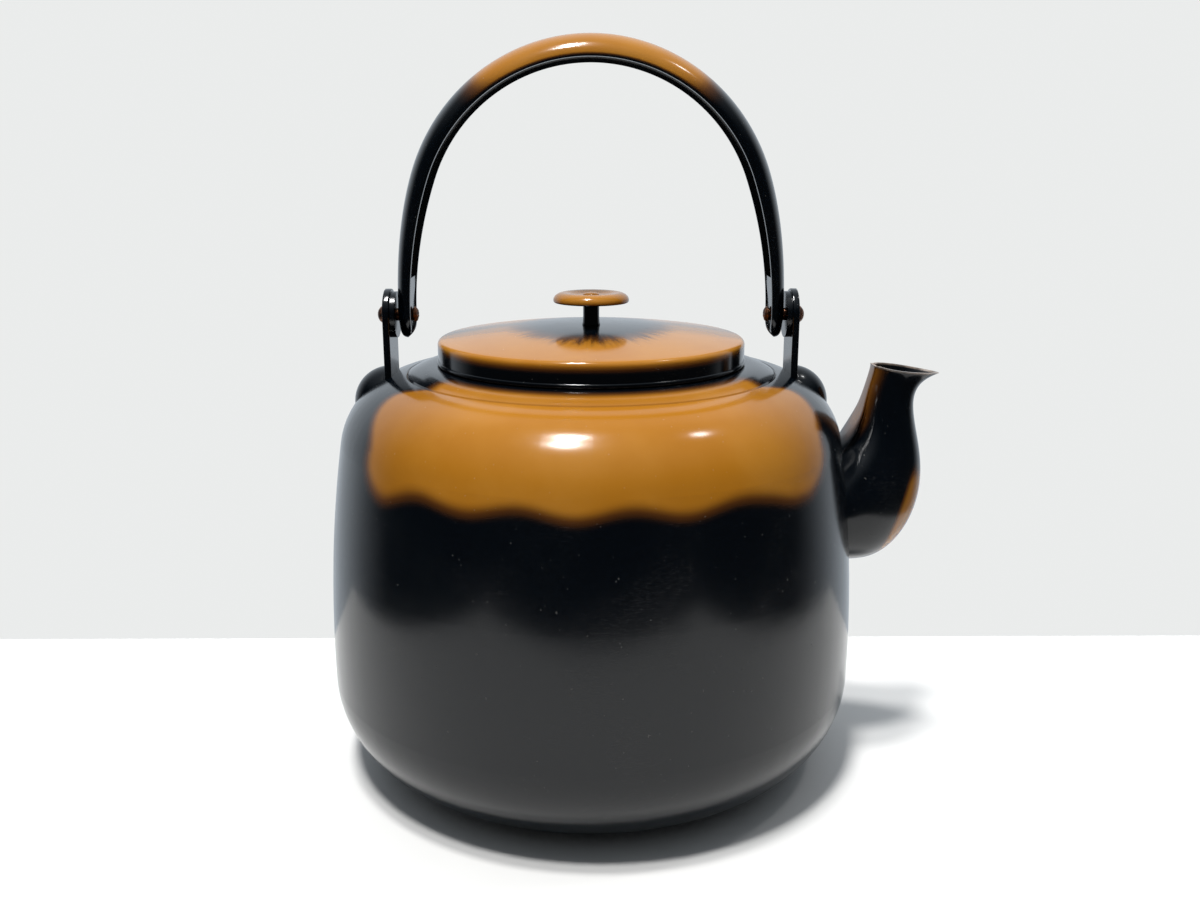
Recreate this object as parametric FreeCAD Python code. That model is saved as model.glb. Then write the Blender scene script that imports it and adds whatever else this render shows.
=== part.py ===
import FreeCAD, Part
import math
import os

# Water kettle of raised sheet copper with a lift-off lid and a swinging bail handle.
# Millimetres. +Z up, origin at the middle of the flat bottom, spout towards +X,
# bail standing in the XZ plane.

# Body shell
BODY_RADIUS = 88.0
BELLY_HEIGHT = 41.0
BELLY_BEND = 448.0
BOTTOM_BEND = 32.0
SHOULDER_BEND = 25.0
SHOULDER_HEIGHT = 132.3
BODY_WALL = 1.0

# Mouth ring soldered into the shoulder
SEAM_ANGLE = 84.0
SEAM_GAP = 0.1
SEAM_CHAMFER = 0.4
RING_RISE = 2.9
RING_WALL = 1.0
LAP_WIDTH = 6.5
NECK_INSET = 39.4
NECK_HEIGHT = 5.6
NECK_FILLET = 1.2

# Lid
LID_FIT = 0.8
LID_WALL = 0.9
LID_SKIRT = 7.5
LID_CROWN = 2.0
LID_EDGE_BEND = 1.6
LID_BEAD = 0.4
LID_BEAD_HEIGHT = 1.2
LID_GAP = 0.4

# Knob on the lid
POST_RADIUS = 2.65
POST_TENON_RADIUS = 1.8
POST_HEIGHT = 9.6
CAP_RADIUS = 12.4
CAP_THICKNESS = 3.2
CAP_EDGE_BEND = 1.4
CAP_DISH = 0.8
BURR_RADIUS = 5.0
BURR_THICKNESS = 0.8
PEEN_RADIUS = 2.7
PEEN_HEIGHT = 0.9
TENON_GAP = 0.05

# Bail handle: a channel of bent sheet, open on its inner side, with solid forged ends
BAIL_CROWN_INSET = 4.3
BAIL_RISE = 79.6
BAIL_WALL = 1.2
BAIL_GRIP_WIDTH = 24.0
BAIL_GRIP_DEPTH = 7.7
BAIL_LEG_WIDTH = 20.0
BAIL_LEG_DEPTH = 6.2
BAIL_END_WIDTH = 15.0
BAIL_END_DEPTH = 4.8
BAIL_END_LENGTH = 13.0
BAIL_STATIONS = 17

# Pivots of the bail
PIVOT_RISE = 18.3
PIVOT_RADIUS = 2.0
PIVOT_FIT = 0.06
PIVOT_HEAD_RADIUS = 2.9
PIVOT_HEAD_HEIGHT = 1.6
PIVOT_PEEN_RADIUS = 2.6
PIVOT_PEEN_HEIGHT = 1.4
SIDE_PLAY = 0.35
WASHER_RADIUS = 7.5
WASHER_THICKNESS = 1.6

# Lugs that carry the bail
LUG_INSET = 22.95
LUG_WIDTH = 16.8
LUG_THICKNESS = 2.2
FOOT_LENGTH = 12.7
FOOT_HALF_WIDTH = 11.0
FOOT_STANDOFF = 1.7
FOOT_SINK = 9.0
LUG_RIVET_RADIUS = 1.5
LUG_RIVET_HEAD_RADIUS = 2.8
LUG_RIVET_HEAD_HEIGHT = 1.0
LUG_RIVET_ANGLE = 58.0
LUG_RIVET_SPREAD = 3.6
RIVET_GAP = 0.03

# Spout. Each station runs from the throat side to the belly side of the spout:
# reach past the body radius and height above the root, on both sides, then half width.
SPOUT_ROOT_HEIGHT = 86.0
SPOUT_WALL = 1.0
SPOUT_HOLE_RADIUS = 13.0
SPOUT_LIP_REACH = 4.6
SPOUT_LIP_SHARPNESS = 4
SPOUT_HALF_POINTS = 9
SPOUT_STATIONS = (
    (-12.0, 19.5, -12.0, -22.0, 19.0),
    (-3.2, 22.4, 6.0, -18.6, 18.2),
    (-0.9, 26.3, 18.2, -9.0, 15.6),
    (0.6, 29.6, 23.2, 5.0, 12.6),
    (2.0, 33.2, 22.8, 18.0, 10.4),
    (3.4, 38.4, 20.0, 31.6, 8.8),
    (4.6, 43.2, 20.2, 38.8, 8.2),
    (5.4, 47.8, 23.2, 45.6, 8.4),
)

X_AXIS = FreeCAD.Vector(1, 0, 0)
Y_AXIS = FreeCAD.Vector(0, 1, 0)
Z_AXIS = FreeCAD.Vector(0, 0, 1)
ORIGIN = FreeCAD.Vector(0, 0, 0)
FULL_TURN = 360.0
TOUCHING = 1e-6


def at(radius, height):
    """Point of a profile drawn in the XZ plane."""
    return FreeCAD.Vector(radius, 0, height)


def polar(centre, radius, angle):
    """Point of a profile at an angle, in radians, round a centre."""
    return at(centre[0] + radius * math.cos(angle), centre[1] + radius * math.sin(angle))


def line(start, end):
    return Part.LineSegment(start, end).toShape()


def arc(centre, radius, start, end):
    """Arc of a profile between two angles in radians."""
    middle = (start + end) / 2
    points = [polar(centre, radius, angle) for angle in (start, middle, end)]
    return Part.Arc(*points).toShape()


def chain(*pieces):
    """Edges in a row, with a straight edge wherever one does not start where the last ended.
    A piece is an edge or a single point."""
    edges = []
    end = None
    for piece in pieces:
        is_point = isinstance(piece, FreeCAD.Vector)
        start = piece if is_point else piece.firstVertex(True).Point
        if end is not None and end.distanceToPoint(start) > TOUCHING:
            edges.append(line(end, start))
        if is_point:
            end = piece
        else:
            edges.append(piece)
            end = piece.lastVertex(True).Point
    return edges, end


def turned(*pieces):
    """Solid turned round Z from a closed profile."""
    edges, end = chain(*pieces)
    first = pieces[0]
    start = first if isinstance(first, FreeCAD.Vector) else first.firstVertex(True).Point
    if end.distanceToPoint(start) > TOUCHING:
        edges.append(line(end, start))
    face = Part.Face(Part.Wire(edges))
    return face.revolve(ORIGIN, Z_AXIS, FULL_TURN)


def along_x(radius, start, end, height):
    """Round bar along X at a height over the origin."""
    return Part.makeCylinder(radius, end - start, at(start, height), X_AXIS)


def ovoid(centre, half_x, half_y, half_z):
    """Ball stretched to a half size of its own along each axis."""
    ball = Part.makeSphere(half_z)
    stretch = FreeCAD.Matrix()
    stretch.scale(half_x / half_z, half_y / half_z, 1.0)
    ball = ball.transformGeometry(stretch)
    ball.translate(centre)
    return ball


def mirrored(shape):
    """The same piece on the side away from the spout."""
    return shape.mirror(ORIGIN, X_AXIS)


# Body shell: flat bottom, rounded lower edge, slightly bellied wall and rounded shoulder.
# The three arcs are tangent to each other; the inner wall shares their centres.
belly_centre = (BODY_RADIUS - BELLY_BEND, BELLY_HEIGHT)
bottom_drop = BOTTOM_BEND - BELLY_HEIGHT
bottom_run = math.sqrt((BELLY_BEND - BOTTOM_BEND) ** 2 - bottom_drop ** 2)
bottom_centre = (belly_centre[0] + bottom_run, BOTTOM_BEND)
bottom_angle = math.atan2(bottom_drop, bottom_run)
shoulder_climb = SHOULDER_HEIGHT - SHOULDER_BEND - BELLY_HEIGHT
shoulder_run = math.sqrt((BELLY_BEND - SHOULDER_BEND) ** 2 - shoulder_climb ** 2)
shoulder_centre = (belly_centre[0] + shoulder_run, SHOULDER_HEIGHT - SHOULDER_BEND)
shoulder_angle = math.atan2(shoulder_climb, shoulder_run)

# Seam where the mouth ring lies flush in the shoulder, and the low dome of the ring
seam = polar(shoulder_centre, SHOULDER_BEND, math.radians(SEAM_ANGLE))
seam_radius = seam.x
neck_radius = BODY_RADIUS - NECK_INSET
ring_run = seam_radius - neck_radius - NECK_FILLET
ring_bend = (ring_run ** 2 + RING_RISE ** 2) / (2 * RING_RISE)
ring_top = seam.z + RING_RISE
ring_centre = (neck_radius + NECK_FILLET, ring_top - ring_bend)
ring_seat_bend = ring_bend - RING_WALL


def ring_angle(radius, bend):
    """Angle on the low dome of the mouth ring at a distance from the kettle's axis."""
    return math.acos((radius - ring_centre[0]) / bend)


def body_outside():
    """Outer line of the body from the axis to the shoulder's seam."""
    seam_end = math.acos((seam_radius + SEAM_GAP + SEAM_CHAMFER - shoulder_centre[0]) / SHOULDER_BEND)
    return (
        at(0, 0),
        arc(bottom_centre, BOTTOM_BEND, -math.pi / 2, bottom_angle),
        arc(belly_centre, BELLY_BEND, bottom_angle, shoulder_angle),
        arc(shoulder_centre, SHOULDER_BEND, shoulder_angle, seam_end),
    )


def make_body_block():
    """The body filled in, for trimming what seats on its outside."""
    return turned(*body_outside(), at(0, SHOULDER_HEIGHT))


def make_body():
    ledge_radius = seam_radius + SEAM_GAP
    lap_radius = ledge_radius - LAP_WIDTH
    inner_seat_bend = ring_seat_bend - BODY_WALL
    step_radius = ledge_radius + BODY_WALL
    inner_start = math.acos((step_radius + BODY_WALL / 2 - shoulder_centre[0]) / (SHOULDER_BEND - BODY_WALL))
    shell = turned(
        *body_outside(),
        at(ledge_radius, seam.z - SEAM_CHAMFER),
        arc(ring_centre, ring_seat_bend, ring_angle(ledge_radius, ring_seat_bend),
            ring_angle(lap_radius, ring_seat_bend)),
        arc(ring_centre, inner_seat_bend, ring_angle(lap_radius, inner_seat_bend),
            ring_angle(step_radius, inner_seat_bend)),
        arc(shoulder_centre, SHOULDER_BEND - BODY_WALL, inner_start, shoulder_angle),
        arc(belly_centre, BELLY_BEND - BODY_WALL, shoulder_angle, bottom_angle),
        arc(bottom_centre, BOTTOM_BEND - BODY_WALL, bottom_angle, -math.pi / 2),
        at(0, BODY_WALL),
    )
    spout_hole = along_x(SPOUT_HOLE_RADIUS, 0, BODY_RADIUS * 2, SPOUT_ROOT_HEIGHT)
    return shell.cut(spout_hole)


def make_mouth_ring():
    neck_centre = (neck_radius + NECK_FILLET, ring_top + NECK_FILLET)
    neck_top = ring_top + NECK_HEIGHT - RING_WALL / 2
    rim_centre = (neck_radius - RING_WALL / 2, neck_top)
    flange_end = seam_radius - SEAM_CHAMFER
    return turned(
        arc(ring_centre, ring_bend, ring_angle(flange_end, ring_bend), math.pi / 2),
        arc(neck_centre, NECK_FILLET, -math.pi / 2, -math.pi),
        arc(rim_centre, RING_WALL / 2, 0, math.pi),
        arc(neck_centre, NECK_FILLET + RING_WALL, math.pi, 3 * math.pi / 2),
        arc(ring_centre, ring_seat_bend, math.pi / 2, ring_angle(seam_radius, ring_seat_bend)),
        at(seam_radius, seam.z - SEAM_CHAMFER),
    )


# Lid: a flat-crowned cap whose skirt drops over the neck and stops just above the ring
lid_radius = neck_radius + LID_FIT + LID_WALL
lid_foot = ring_top + LID_GAP
lid_rim = lid_foot + LID_SKIRT
lid_crown_bend = (lid_radius ** 2 + LID_CROWN ** 2) / (2 * LID_CROWN)
lid_top = lid_rim + LID_CROWN
lid_crown_centre = (0.0, lid_top - lid_crown_bend)


def make_lid():
    """Crown, rounded edge, straight skirt and the small bead round the skirt's foot."""
    edge_radius = lid_radius - LID_EDGE_BEND
    edge_distance = lid_crown_bend - LID_EDGE_BEND
    edge_angle = math.acos(edge_radius / edge_distance)
    edge_centre = polar(lid_crown_centre, edge_distance, edge_angle)
    edge_centre = (edge_centre.x, edge_centre.z)
    inner_edge = LID_EDGE_BEND - LID_WALL
    inner_radius = lid_radius - LID_WALL
    bead_middle = lid_foot + LID_BEAD_HEIGHT / 2
    bead = Part.Arc(
        at(lid_radius, lid_foot + LID_BEAD_HEIGHT),
        at(lid_radius + LID_BEAD, bead_middle),
        at(lid_radius, lid_foot),
    ).toShape()
    cap = turned(
        arc(lid_crown_centre, lid_crown_bend, math.pi / 2, edge_angle),
        arc(edge_centre, LID_EDGE_BEND, edge_angle, 0),
        bead,
        at(inner_radius, lid_foot),
        arc(edge_centre, inner_edge, 0, edge_angle),
        arc(lid_crown_centre, lid_crown_bend - LID_WALL, edge_angle, math.pi / 2),
    )
    hole = Part.makeCylinder(POST_TENON_RADIUS + TENON_GAP, lid_top, ORIGIN, Z_AXIS)
    return cap.cut(hole)


# Knob: a turned post riveted through the lid and through a dished cap
post_top = lid_top + POST_HEIGHT
cap_top = post_top + CAP_THICKNESS
burr_top = lid_crown_centre[1] + math.sqrt((lid_crown_bend - LID_WALL) ** 2 - BURR_RADIUS ** 2)
burr_bottom = burr_top - BURR_THICKNESS


def peened(radius, height):
    """Domed rivet end standing on the XY plane."""
    bend = (radius ** 2 + height ** 2) / (2 * height)
    centre = (0.0, height - bend)
    rim_angle = math.acos(radius / bend)
    if centre[1] > 0:
        rim_angle = -rim_angle
    return turned(at(0, 0), at(radius, 0), arc(centre, bend, rim_angle, math.pi / 2))


def make_knob_post():
    """Stem with a tenon at each end, hammered over below the washer and in the cap's dish."""
    dish_floor = cap_top - CAP_DISH
    stem = turned(
        at(0, burr_bottom),
        at(POST_TENON_RADIUS, burr_bottom),
        at(POST_TENON_RADIUS, lid_top),
        at(POST_RADIUS, lid_top),
        at(POST_RADIUS, post_top),
        at(POST_TENON_RADIUS, post_top),
        at(POST_TENON_RADIUS, dish_floor),
        at(0, dish_floor),
    )
    above = peened(PEEN_RADIUS, PEEN_HEIGHT)
    below = above.copy()
    above.translate(at(0, dish_floor))
    below.rotate(ORIGIN, X_AXIS, FULL_TURN / 2)
    below.translate(at(0, burr_bottom))
    return stem.fuse([above, below]).removeSplitter()


def make_knob_cap():
    """Thick disc with a round edge and a shallow dish in its top."""
    edge_centre_radius = CAP_RADIUS - CAP_EDGE_BEND
    lower = (edge_centre_radius, post_top + CAP_EDGE_BEND)
    upper = (edge_centre_radius, cap_top - CAP_EDGE_BEND)
    dish_start = edge_centre_radius - CAP_EDGE_BEND
    bore = POST_TENON_RADIUS + TENON_GAP
    dish_floor = cap_top - CAP_DISH
    dish = Part.Arc(
        at(edge_centre_radius, cap_top),
        at(dish_start, cap_top - CAP_DISH / 2),
        at(PEEN_RADIUS * 2, dish_floor),
    ).toShape()
    return turned(
        at(bore, post_top),
        arc(lower, CAP_EDGE_BEND, -math.pi / 2, 0),
        arc(upper, CAP_EDGE_BEND, 0, math.pi / 2),
        dish,
        at(bore, dish_floor),
    )


def make_knob_burr():
    """Flat washer under the lid that the post is peened over."""
    bore = POST_TENON_RADIUS + TENON_GAP
    disc = Part.makeCylinder(BURR_RADIUS, BURR_THICKNESS, at(0, burr_bottom), Z_AXIS)
    hole = Part.makeCylinder(bore, BURR_THICKNESS, at(0, burr_bottom), Z_AXIS)
    return disc.cut(hole)


# What lies on each pivot, from the lug inwards: lug, washer, some side play, bail end
lug_inner = BODY_RADIUS - LUG_INSET
lug_outer = lug_inner + LUG_THICKNESS
washer_inner = lug_inner - WASHER_THICKNESS
bail_end_face = washer_inner - SIDE_PLAY
bail_half_span = bail_end_face - BAIL_END_DEPTH

# Bail: its inner face follows a crown arc and two leg arcs that stand upright at the pivots
pivot_height = SHOULDER_HEIGHT + PIVOT_RISE
bail_crown_bend = bail_half_span - BAIL_CROWN_INSET
crown_centre = (0.0, pivot_height + BAIL_RISE - bail_crown_bend)
crown_climb = crown_centre[1] - pivot_height
leg_bend = (bail_half_span ** 2 + crown_climb ** 2 - bail_crown_bend ** 2)
leg_bend = leg_bend / (2 * (bail_half_span - bail_crown_bend))
leg_centre = (bail_half_span - leg_bend, pivot_height)
leg_angle = math.atan2(crown_climb, -leg_centre[0])
leg_length = leg_bend * leg_angle
crown_length = bail_crown_bend * (math.pi / 2 - leg_angle)
bail_length = leg_length + crown_length


def bail_point(distance):
    """Point on the inner face of the +X half of the bail and the angle of its outward normal,
    at a distance along the bail from the pivot."""
    if distance <= leg_length:
        angle = distance / leg_bend
        return polar(leg_centre, leg_bend, angle), angle
    angle = leg_angle + (distance - leg_length) / bail_crown_bend
    return polar(crown_centre, bail_crown_bend, angle), angle


def eased(share):
    """Smooth step from 0 to 1."""
    share = min(max(share, 0.0), 1.0)
    return share * share * (3 - 2 * share)


def bail_section_size(distance):
    """Width and depth of the bail's section: slim at the ends, full at the grip."""
    leg = eased(distance / leg_length)
    grip = eased((distance - leg_length / 2) / (bail_length - leg_length / 2))
    width = BAIL_END_WIDTH + (BAIL_LEG_WIDTH - BAIL_END_WIDTH) * leg
    width += (BAIL_GRIP_WIDTH - BAIL_LEG_WIDTH) * grip
    depth = BAIL_END_DEPTH + (BAIL_LEG_DEPTH - BAIL_END_DEPTH) * leg
    depth += (BAIL_GRIP_DEPTH - BAIL_LEG_DEPTH) * grip
    return width, depth


def bail_frame(distance):
    """Inner point, outward normal and section size; negative distances are on the -X half,
    measured from the middle of the grip."""
    from_pivot = bail_length - abs(distance)
    point, angle = bail_point(from_pivot)
    normal = at(math.cos(angle), math.sin(angle))
    if distance < 0:
        point = at(-point.x, point.z)
        normal = at(-normal.x, normal.z)
    return point, normal, bail_section_size(from_pivot)


def half_oval(point, normal, half_width, depth):
    """Half ellipse from the +Y lip over the crest to the -Y lip."""
    lip = point + Y_AXIS * half_width
    crest = point + normal * depth
    if half_width > depth:
        oval = Part.Ellipse(lip, crest, point)
        return Part.ArcOfEllipse(oval, 0, math.pi).toShape()
    return Part.Arc(lip, crest, point - Y_AXIS * half_width).toShape()


def channel_section(distance):
    """Closed outline of the bent sheet: outer skin, lip, inner skin, lip."""
    point, normal, (width, depth) = bail_frame(distance)
    outer = half_oval(point, normal, width / 2, depth)
    inner = half_oval(point, normal, width / 2 - BAIL_WALL, depth - BAIL_WALL)
    far_lip = line(point - Y_AXIS * (width / 2), point - Y_AXIS * (width / 2 - BAIL_WALL))
    near_lip = line(point + Y_AXIS * (width / 2 - BAIL_WALL), point + Y_AXIS * (width / 2))
    return Part.Wire([outer, far_lip, inner, near_lip])


def solid_section(distance):
    """Closed outline of the forged end: outer skin and flat inner face."""
    point, normal, (width, depth) = bail_frame(distance)
    outer = half_oval(point, normal, width / 2, depth)
    flat = line(point - Y_AXIS * (width / 2), point + Y_AXIS * (width / 2))
    return Part.Wire([outer, flat])


def make_bail_end():
    """Solid end on the +X side: tapers to the pivot and turns round it."""
    top = bail_length - BAIL_END_LENGTH
    steps = [top + BAIL_END_LENGTH * share for share in (0.0, 0.5, 1.0)]
    neck = Part.makeLoft([solid_section(step) for step in steps], True, False)
    point, normal, (width, depth) = bail_frame(bail_length)
    half = width / 2
    below = Part.makeBox(depth, width, half, point - FreeCAD.Vector(0, half, half))
    round_end = ovoid(point, depth, half, half).common(below)
    end = neck.fuse(round_end)
    hole = along_x(PIVOT_RADIUS + PIVOT_FIT, 0, BODY_RADIUS, pivot_height)
    return end.cut(hole)


def make_bail():
    reach = bail_length - BAIL_END_LENGTH
    count = BAIL_STATIONS - 1
    places = [-reach + 2 * reach * index / count for index in range(BAIL_STATIONS)]
    channel = Part.makeLoft([channel_section(place) for place in places], True, False)
    end = make_bail_end()
    return channel.fuse([end, mirrored(end)]).removeSplitter()


# Lugs: an upright strap outside each bail end on a rounded foot that sits on the shoulder
def shoulder_height_at(radius):
    return shoulder_centre[1] + math.sqrt(SHOULDER_BEND ** 2 - (radius - shoulder_centre[0]) ** 2)


def make_foot_block():
    """Rounded leaf of the lug's foot before it is trimmed to the shoulder."""
    centre_x = lug_inner + FOOT_STANDOFF
    centre_z = shoulder_height_at(centre_x) - FOOT_SINK
    ball = ovoid(at(centre_x, centre_z), FOOT_LENGTH, FOOT_HALF_WIDTH, FOOT_LENGTH)
    side = 2 * FOOT_LENGTH
    outside = Part.makeBox(side, side, 2 * side, FreeCAD.Vector(lug_inner, -side / 2, centre_z - side))
    return ball.common(outside)


def make_lug_rivets(shell, foot_block, clearance):
    """Two countersunk rivets through the foot and the shoulder, headed inside the body shell."""
    normal = polar((0.0, 0.0), 1.0, math.radians(LUG_RIVET_ANGLE))
    seat = polar(shoulder_centre, SHOULDER_BEND - BODY_WALL, math.radians(LUG_RIVET_ANGLE))
    spread = math.degrees(math.asin(LUG_RIVET_SPREAD / seat.x))
    sunk = seat - normal * LUG_RIVET_HEAD_HEIGHT
    shank = Part.makeCylinder(LUG_RIVET_RADIUS + clearance, FOOT_LENGTH, sunk, normal)
    shank = shank.common(foot_block.fuse(make_body_block()))
    head = Part.makeCylinder(LUG_RIVET_HEAD_RADIUS, LUG_RIVET_HEAD_HEIGHT, sunk, normal)
    rivet = shank.fuse(head.cut(shell)).removeSplitter()
    rivets = []
    for turn in (-spread, spread):
        copy = rivet.copy()
        copy.rotate(ORIGIN, Z_AXIS, turn)
        rivets.append(copy)
    return rivets


def make_lug(body_block):
    half = LUG_WIDTH / 2
    strap_foot = shoulder_height_at(lug_outer) - FOOT_SINK
    corner = FreeCAD.Vector(lug_inner, -half, strap_foot)
    strap = Part.makeBox(LUG_THICKNESS, LUG_WIDTH, pivot_height - strap_foot, corner)
    head = along_x(half, lug_inner, lug_outer, pivot_height)
    lug = strap.fuse([head, make_foot_block()])
    hole = along_x(PIVOT_RADIUS, 0, BODY_RADIUS * 2, pivot_height)
    return lug.cut([body_block, hole]).removeSplitter()


def make_pivot_rivet():
    """Round-headed rivet through lug, washer and bail end, hammered over inside."""
    inner = bail_half_span - SIDE_PLAY
    shank = along_x(PIVOT_RADIUS, inner, lug_outer, pivot_height)
    head = peened(PIVOT_HEAD_RADIUS, PIVOT_HEAD_HEIGHT)
    head.rotate(ORIGIN, Y_AXIS, FULL_TURN / 4)
    head.translate(at(lug_outer, pivot_height))
    peen = peened(PIVOT_PEEN_RADIUS, PIVOT_PEEN_HEIGHT)
    peen.rotate(ORIGIN, Y_AXIS, -FULL_TURN / 4)
    peen.translate(at(inner, pivot_height))
    return shank.fuse([head, peen]).removeSplitter()


def make_washer():
    disc = along_x(WASHER_RADIUS, washer_inner, lug_inner, pivot_height)
    hole = along_x(PIVOT_RADIUS, washer_inner, lug_inner, pivot_height)
    return disc.cut(hole)


# Spout: a swan-necked shell whose skins are lofted through ovals across its curved axis
def spout_half_oval(station, wall, lip):
    """Half of an oval on the +Y side, from the belly side round to the throat side, drawn in by
    a wall thickness. A lip draws the belly side out to a point."""
    throat = at(BODY_RADIUS + station[0], SPOUT_ROOT_HEIGHT + station[1])
    belly = at(BODY_RADIUS + station[2], SPOUT_ROOT_HEIGHT + station[3])
    centre = (throat + belly) / 2
    reach = belly - centre
    half_depth = reach.Length - wall
    half_width = station[4] - wall
    reach.normalize()
    points = []
    for step in range(SPOUT_HALF_POINTS):
        angle = math.pi * step / (SPOUT_HALF_POINTS - 1)
        forward = math.cos(angle)
        beak = lip * max(forward, 0.0) ** SPOUT_LIP_SHARPNESS
        points.append(centre + reach * (half_depth * forward + beak) + Y_AXIS * (half_width * math.sin(angle)))
    leaving = Y_AXIS * half_width
    curve = Part.BSplineCurve()
    curve.interpolate(points, InitialTangent=leaving, FinalTangent=leaving * -1)
    return curve.toShape()


def spout_skin(wall):
    """Both halves of one skin and the closed outlines of its root and mouth."""
    ovals = [spout_half_oval(station, wall, 0.0) for station in SPOUT_STATIONS[:-1]]
    ovals.append(spout_half_oval(SPOUT_STATIONS[-1], wall, SPOUT_LIP_REACH))
    near = Part.makeLoft([Part.Wire(oval) for oval in ovals], False, False)
    far = near.mirror(ORIGIN, Y_AXIS)
    outlines = []
    for oval in (ovals[0], ovals[-1]):
        outlines.append(Part.Wire([oval, oval.mirror(ORIGIN, Y_AXIS)]))
    return near.Faces + far.Faces, outlines


def make_spout(body_block):
    outer, outer_outlines = spout_skin(0.0)
    inner, inner_outlines = spout_skin(SPOUT_WALL)
    rims = []
    for outside, inside in zip(outer_outlines, inner_outlines):
        rims += Part.Face(outside).cut(Part.Face(inside)).Faces
    shell = Part.Shell(outer + inner + rims)
    shell.sewShape()
    tube = Part.Solid(shell)
    return tube.cut(body_block)


def main():
    os.makedirs("parts", exist_ok=True)
    body_block = make_body_block()
    foot_block = make_foot_block()
    shell = make_body()
    rivets = make_lug_rivets(shell, foot_block, 0.0)
    rivet_holes = make_lug_rivets(shell, foot_block, RIVET_GAP)
    lug = make_lug(body_block).cut(rivet_holes)
    washer = make_washer()
    pivot_rivet = make_pivot_rivet()
    lug_rivets = Part.makeCompound(rivets)
    nodes = {
        "body": shell.cut(rivet_holes + [mirrored(hole) for hole in rivet_holes]),
        "mouth_ring": make_mouth_ring(),
        "spout": make_spout(body_block),
        "lid": make_lid(),
        "knob_post": make_knob_post(),
        "knob_cap": make_knob_cap(),
        "knob_burr": make_knob_burr(),
        "bail_handle": make_bail(),
        "lug_right": lug,
        "lug_left": mirrored(lug),
        "lug_rivets_right": lug_rivets,
        "lug_rivets_left": mirrored(lug_rivets),
        "spacer_washer_right": washer,
        "spacer_washer_left": mirrored(washer),
        "pivot_rivet_right": pivot_rivet,
        "pivot_rivet_left": mirrored(pivot_rivet),
    }
    for name, shape in nodes.items():
        shape.exportStep("parts/" + name + ".step")


main()
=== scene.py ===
import bmesh
import bpy
import math
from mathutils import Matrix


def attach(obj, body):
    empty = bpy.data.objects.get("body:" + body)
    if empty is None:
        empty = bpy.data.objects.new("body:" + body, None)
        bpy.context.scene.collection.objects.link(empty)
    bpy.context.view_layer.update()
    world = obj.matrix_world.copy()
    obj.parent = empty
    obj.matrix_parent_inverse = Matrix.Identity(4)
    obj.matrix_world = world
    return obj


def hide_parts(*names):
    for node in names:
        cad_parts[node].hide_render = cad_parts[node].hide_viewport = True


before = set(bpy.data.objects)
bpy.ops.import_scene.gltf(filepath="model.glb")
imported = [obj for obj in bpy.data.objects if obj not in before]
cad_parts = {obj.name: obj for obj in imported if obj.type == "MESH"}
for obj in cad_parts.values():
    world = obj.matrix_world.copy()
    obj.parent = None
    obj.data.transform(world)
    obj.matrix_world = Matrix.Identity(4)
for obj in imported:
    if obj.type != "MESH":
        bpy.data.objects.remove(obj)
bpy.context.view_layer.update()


# Body: one shell raised from sheet copper, flat below, rounded into a slightly bellied wall and
# a round shoulder. It is finished in a deep black gloss, with an amber field at the front and
# at the back whose lower edge is softly scalloped.
class Tone:
    """One socket of a finish. Sums and products of tones add Math nodes to the finish."""

    def __init__(self, tree, socket=None):
        self.tree = tree
        self.socket = socket

    def node(self, kind, settings=None, sockets=None, out=0):
        """A new node, with its settings set first and then its sockets filled or linked."""
        made = self.tree.nodes.new(kind)
        for name, value in (settings or {}).items():
            setattr(made, name, value)
        for key, value in (sockets or {}).items():
            if isinstance(value, Tone):
                self.tree.links.new(value.socket, made.inputs[key])
            else:
                made.inputs[key].default_value = value
        return Tone(self.tree, made.outputs[out])

    def maths(self, operation, first, second=0.0):
        """One Math node on two values."""
        return self.node("ShaderNodeMath", {"operation": operation}, {0: first, 1: second})

    def __add__(self, other):
        return self.maths("ADD", self, other)

    __radd__ = __add__

    def __sub__(self, other):
        return self.maths("SUBTRACT", self, other)

    def __rsub__(self, other):
        return self.maths("SUBTRACT", other, self)

    def __mul__(self, other):
        return self.maths("MULTIPLY", self, other)

    __rmul__ = __mul__

    def __truediv__(self, other):
        return self.maths("DIVIDE", self, other)

    def __pow__(self, other):
        return self.maths("POWER", self, other)

    def __abs__(self):
        return self.maths("ABSOLUTE", self)

    def above(self, least):
        return self.maths("MAXIMUM", self, least)

    def below(self, most):
        return self.maths("MINIMUM", self, most)

    def eased(self, low, high):
        """0 up to low, 1 from high, and a soft slope between."""
        return self.node("ShaderNodeMapRange", {"interpolation_type": "SMOOTHSTEP"},
                         {"Value": self, "From Min": low, "From Max": high})

    def mixed(self, first, second):
        """A colour between two, by this tone. A Mix node's colours are inputs 6 and 7, output 2."""
        return self.node("ShaderNodeMix", {"data_type": "RGBA"}, {0: self, 6: first, 7: second}, 2)

    def noise(self, scale, detail=3.0, roughness=0.5):
        return self.node("ShaderNodeTexNoise", {}, {"Vector": self, "Scale": scale,
                                                    "Detail": detail, "Roughness": roughness})

    def stretched(self, x, y, z):
        return self.node("ShaderNodeMapping", {}, {"Vector": self, "Scale": (x, y, z)})

    def bump(self, strength, depth):
        """A surface raised by this tone, for a shader's Normal."""
        return self.node("ShaderNodeBump", {},
                         {"Strength": strength, "Distance": depth, "Height": self})

    def axes(self):
        parts = self.node("ShaderNodeSeparateXYZ", {}, {0: self})
        return [Tone(self.tree, socket) for socket in parts.socket.node.outputs]


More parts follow.
